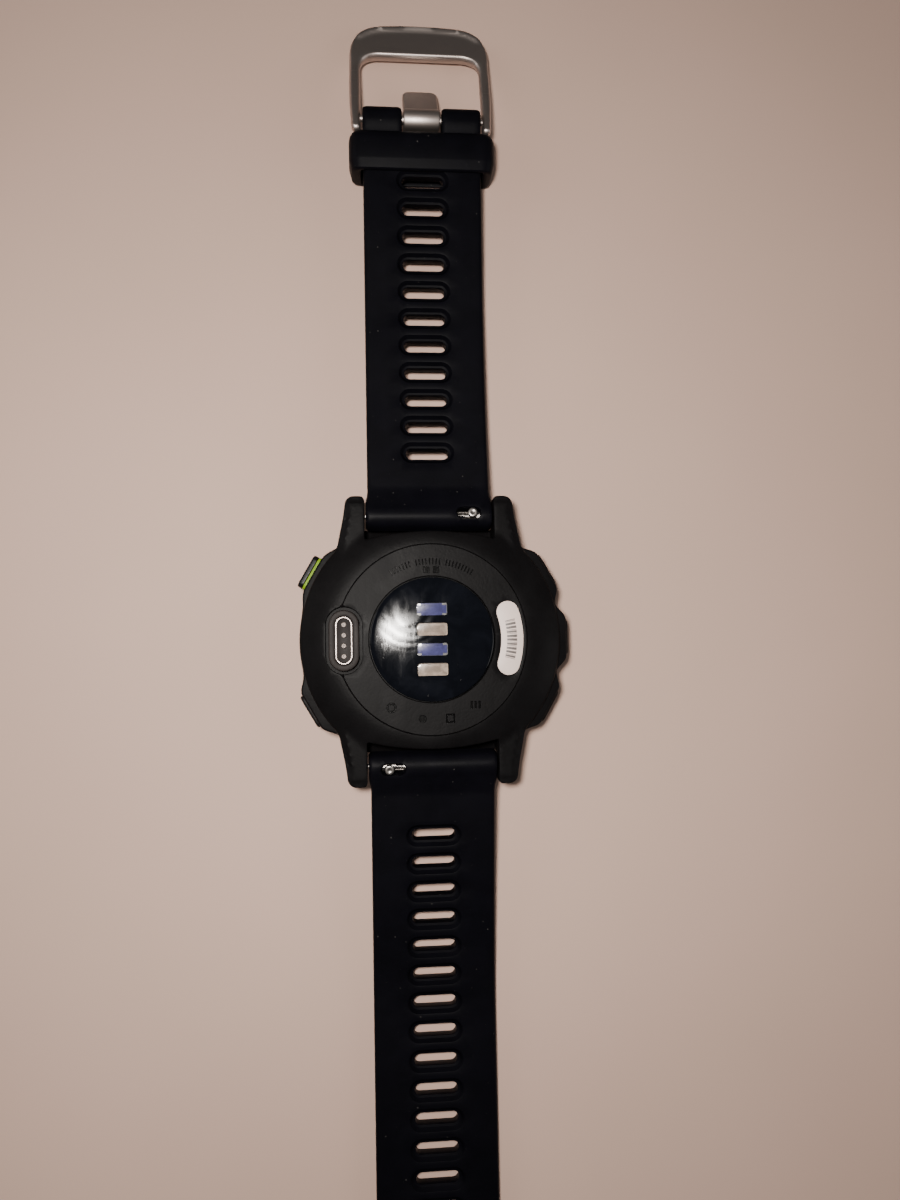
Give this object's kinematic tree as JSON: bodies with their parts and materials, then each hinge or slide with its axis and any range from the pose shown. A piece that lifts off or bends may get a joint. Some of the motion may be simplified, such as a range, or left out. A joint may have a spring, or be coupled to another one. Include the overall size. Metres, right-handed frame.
{
  "type": "gps running watch",
  "caption": "GPS running watch lying face down: round polymer case with optical sensor, five push buttons and a slotted silicone strap with buckle.",
  "frame": {"origin": "centre of the outer face of the display glass, which rests on the table", "axes": "+Z out of the glass through the case to the wrist side, +Y towards the buckle strap (12 o'clock), +X towards the three-button side"},
  "size_m": [0.0436, 0.2336, 0.0116],
  "materials": {
    "polymer": "fine-textured matte fibre-reinforced polymer, very dark warm grey",
    "silicone": "soft matte moulded silicone, blue-black",
    "display_glass": "polished black display glass",
    "sensor_lens": "polished dark tinted optical window",
    "buckle_steel": "satin bead-blasted stainless steel",
    "bar_steel": "fine machined stainless steel",
    "port_metal": "polished plated rim and contacts",
    "lime_plastic": "lime-green moulded plastic, semi-gloss",
    "button_plastic": "satin black plastic caps",
    "seal_rubber": "soft black sealing rubber",
    "label_white": null,
    "led_cream": "cream light emitter window",
    "diode_violet": "violet-blue photodiode glass with silver corners",
    "circuit_board": "green solder mask over glass-fibre board",
    "cell_metal": "satin aluminium can",
    "copper": "copper foil and turned copper alloy",
    "display_plastic": "grey moulded internal plastic"
  },
  "bodies": {
    "case": {"mid_case": "polymer", "back_case": "polymer", "bezel": "polymer", "case_gasket": "seal_rubber", "front_glass": "display_glass", "glass_gasket": "seal_rubber", "display_module": "display_plastic", "sensor_window": "sensor_lens", "photodiode_upper": "diode_violet", "led_upper": "led_cream", "photodiode_lower": "diode_violet", "led_lower": "led_cream", "sensor_board": "circuit_board", "charge_port": "polymer", "port_rim": "port_metal", "charge_contact_1": "port_metal", "charge_contact_2": "port_metal", "charge_contact_3": "port_metal", "charge_contact_4": "port_metal", "serial_label": "label_white", "start_button_seal": "seal_rubber", "back_button_seal": "seal_rubber", "up_button_seal": "seal_rubber", "light_button_seal": "seal_rubber", "down_button_seal": "seal_rubber", "inner_frame": "display_plastic", "battery": "cell_metal", "main_board": "circuit_board", "vibration_motor": "cell_metal", "buzzer": "copper", "gps_antenna": "copper", "button_flex_right": "copper", "button_flex_left": "copper"},
    "start_button": {"start_button": "button_plastic", "start_button_collar": "lime_plastic"},
    "back_button": {"back_button": "button_plastic"},
    "up_button": {"up_button": "button_plastic"},
    "light_button": {"light_button": "button_plastic"},
    "down_button": {"down_button": "button_plastic"},
    "motor_rotor": {"motor_rotor": "copper"},
    "strap_short_1": {"strap_short_1": "silicone", "bar_short_tube": "bar_steel", "bar_short_spring": "bar_steel"},
    "strap_short_2": {"strap_short_2": "silicone"},
    "strap_short_3": {"strap_short_3": "silicone", "buckle_pin": "buckle_steel"},
    "strap_keeper": {"strap_keeper": "silicone"},
    "buckle_frame": {"buckle_frame": "buckle_steel"},
    "buckle_tongue": {"buckle_tongue": "buckle_steel"},
    "bar_short_plunger": {"bar_short_plunger": "bar_steel"},
    "bar_long_plunger": {"bar_long_plunger": "bar_steel"},
    "strap_long_1": {"strap_long_1": "silicone", "bar_long_tube": "bar_steel", "bar_long_spring": "bar_steel"},
    "strap_long_2": {"strap_long_2": "silicone"},
    "strap_long_3": {"strap_long_3": "silicone"},
    "strap_long_4": {"strap_long_4": "silicone"},
    "strap_long_5": {"strap_long_5": "silicone"},
    "strap_long_6": {"strap_long_6": "silicone"}
  },
  "joints": [
    {"name": "start_button_press", "type": "slide", "parent": "case", "child": "start_button", "axis": [0.866, -0.5, 0], "range_m": [0, 0.0006], "stiffness_N_per_m": 800},
    {"name": "back_button_press", "type": "slide", "parent": "case", "child": "back_button", "axis": [0.866, 0.5, 0], "range_m": [0, 0.0006], "stiffness_N_per_m": 800},
    {"name": "up_button_press", "type": "slide", "parent": "case", "child": "up_button", "axis": [-0.866, -0.5, 0], "range_m": [0, 0.0006], "stiffness_N_per_m": 800},
    {"name": "light_button_press", "type": "slide", "parent": "case", "child": "light_button", "axis": [-1, 0, 0], "range_m": [0, 0.0006], "stiffness_N_per_m": 800},
    {"name": "down_button_press", "type": "slide", "parent": "case", "child": "down_button", "axis": [-0.866, 0.5, 0], "range_m": [0, 0.0006], "stiffness_N_per_m": 800},
    {"name": "motor_spin", "type": "hinge", "parent": "case", "child": "motor_rotor", "pos_m": [0, -0.011, 0.0053], "axis": [0, 0, 1], "continuous": true},
    {"name": "strap_short_pivot", "type": "hinge", "parent": "case", "child": "strap_short_1", "pos_m": [0, 0.0198, 0.007], "axis": [1, 0, 0], "range_deg": [-10, 60]},
    {"name": "strap_short_flex_1", "type": "hinge", "parent": "strap_short_1", "child": "strap_short_2", "pos_m": [0, 0.03693, 0.00459], "axis": [1, 0, 0], "range_deg": [0, 22], "stiffness_Nm_per_rad": 0.02},
    {"name": "strap_short_flex_2", "type": "hinge", "parent": "strap_short_2", "child": "strap_short_3", "pos_m": [0, 0.05531, 0.00379], "axis": [1, 0, 0], "range_deg": [0, 22], "stiffness_Nm_per_rad": 0.02},
    {"name": "keeper_slide", "type": "slide", "parent": "strap_short_3", "child": "strap_keeper", "axis": [0, 0.9981, 0.061], "range_m": [-0.0205, 0]},
    {"name": "buckle_frame_hinge", "type": "hinge", "parent": "strap_short_3", "child": "buckle_frame", "pos_m": [0, 0.08656, 0.0057], "axis": [1, 0, 0], "range_deg": [-50, 95]},
    {"name": "buckle_tongue_hinge", "type": "hinge", "parent": "strap_short_3", "child": "buckle_tongue", "pos_m": [0, 0.08656, 0.0057], "axis": [1, 0, 0], "range_deg": [-20, 95]},
    {"name": "bar_short_release", "type": "slide", "parent": "strap_short_1", "child": "bar_short_plunger", "axis": [-1, 0, 0], "range_m": [0, 0.0015], "stiffness_N_per_m": 600},
    {"name": "strap_long_pivot", "type": "hinge", "parent": "case", "child": "strap_long_1", "pos_m": [0, -0.0198, 0.007], "axis": [-1, 0, 0], "range_deg": [-10, 60]},
    {"name": "strap_long_flex_1", "type": "hinge", "parent": "strap_long_1", "child": "strap_long_2", "pos_m": [0, -0.03762, 0.00386], "axis": [-1, 0, 0], "range_deg": [0, 18], "stiffness_Nm_per_rad": 0.02},
    {"name": "strap_long_flex_2", "type": "hinge", "parent": "strap_long_2", "child": "strap_long_3", "pos_m": [0, -0.05586, 0.00136], "axis": [-1, 0, 0], "range_deg": [0, 18], "stiffness_Nm_per_rad": 0.02},
    {"name": "strap_long_flex_3", "type": "hinge", "parent": "strap_long_3", "child": "strap_long_4", "pos_m": [0, -0.07426, 0.00136], "axis": [-1, 0, 0], "range_deg": [0, 18], "stiffness_Nm_per_rad": 0.02},
    {"name": "strap_long_flex_4", "type": "hinge", "parent": "strap_long_4", "child": "strap_long_5", "pos_m": [0, -0.09266, 0.00136], "axis": [-1, 0, 0], "range_deg": [0, 18], "stiffness_Nm_per_rad": 0.02},
    {"name": "strap_long_flex_5", "type": "hinge", "parent": "strap_long_5", "child": "strap_long_6", "pos_m": [0, -0.11104, 0.00216], "axis": [-1, 0, 0], "range_deg": [0, 18], "stiffness_Nm_per_rad": 0.02},
    {"name": "bar_long_release", "type": "slide", "parent": "strap_long_1", "child": "bar_long_plunger", "axis": [1, 0, 0], "range_m": [0, 0.0015], "stiffness_N_per_m": 600}
  ],
  "couplings": [
    {"joint": "strap_short_flex_2", "follows": "strap_short_flex_1", "ratio": 1},
    {"joint": "strap_long_flex_2", "follows": "strap_long_flex_1", "ratio": 1},
    {"joint": "strap_long_flex_3", "follows": "strap_long_flex_1", "ratio": 1},
    {"joint": "strap_long_flex_4", "follows": "strap_long_flex_1", "ratio": 1},
    {"joint": "strap_long_flex_5", "follows": "strap_long_flex_1", "ratio": 1}
  ]
}
